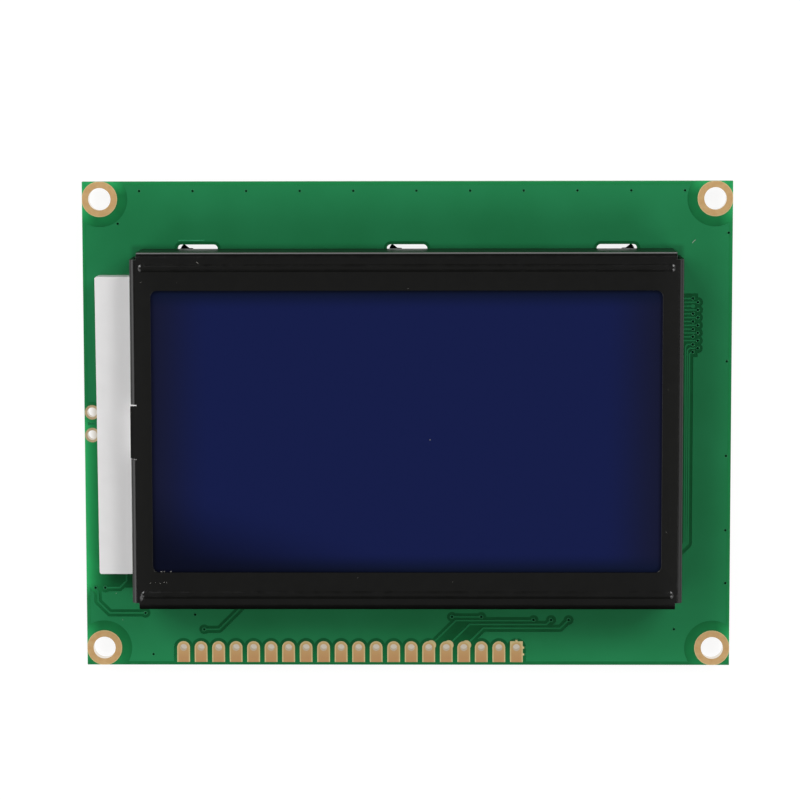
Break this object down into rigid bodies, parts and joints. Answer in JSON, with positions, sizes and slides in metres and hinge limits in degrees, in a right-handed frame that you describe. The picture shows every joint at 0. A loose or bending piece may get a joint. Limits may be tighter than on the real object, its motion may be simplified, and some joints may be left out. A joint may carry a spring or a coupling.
{
  "type": "graphic lcd module",
  "caption": "Flat graphic LCD module: a dark blue display cell and side-lit backlight held on a green circuit board by a folded black bezel, with a header row and corner mounting holes.",
  "frame": {"origin": "middle of the board in plan, on the surface that the bezel's twisted tabs rest on", "axes": "+X along the board's long side, +Y away from the header row, +Z out of the display face"},
  "size_m": [0.093, 0.07, 0.0126],
  "materials": {
    "board": "green solder mask on glass-epoxy laminate",
    "masked_copper": "green solder mask over copper",
    "gold_plating": "satin gold plating",
    "black_bezel": "satin black paint",
    "polariser_film": "dark blue film",
    "cell_glass": "clear float glass",
    "connector_rubber": "matte silicone",
    "white_plastic": "moulded white plastic",
    "clear_acrylic": "polished clear acrylic",
    "white_film": "matte white film",
    "led_laminate": "white laminate",
    "led_resin": "cast resin",
    "tinned_metal": "tin plating and solder",
    "black_epoxy": "cured black epoxy",
    "resistor_body": "black glazed ceramic",
    "capacitor_body": "tan ceramic"
  },
  "bodies": {
    "root": {"pcb": "board", "front_copper": "masked_copper", "mounting_rings": "gold_plating", "header_pads": "gold_plating", "backlight_pads": "gold_plating", "bezel": "black_bezel", "front_polariser": "polariser_film", "front_glass": "cell_glass", "rear_glass": "cell_glass", "rear_polariser": "polariser_film", "zebra_strip_upper": "connector_rubber", "zebra_strip_lower": "connector_rubber", "backlight_frame": "white_plastic", "light_guide": "clear_acrylic", "diffuser_sheet": "white_film", "reflector_sheet": "white_film", "led_board": "led_laminate", "leds": "led_resin", "backlight_pins": "tinned_metal", "pin_solder": "tinned_metal", "controller_blob": "black_epoxy", "driver_blob_left": "black_epoxy", "driver_blob_right": "black_epoxy", "chip_resistors": "resistor_body", "chip_capacitors": "capacitor_body", "chip_end_caps": "tinned_metal"}
  },
  "joints": []
}
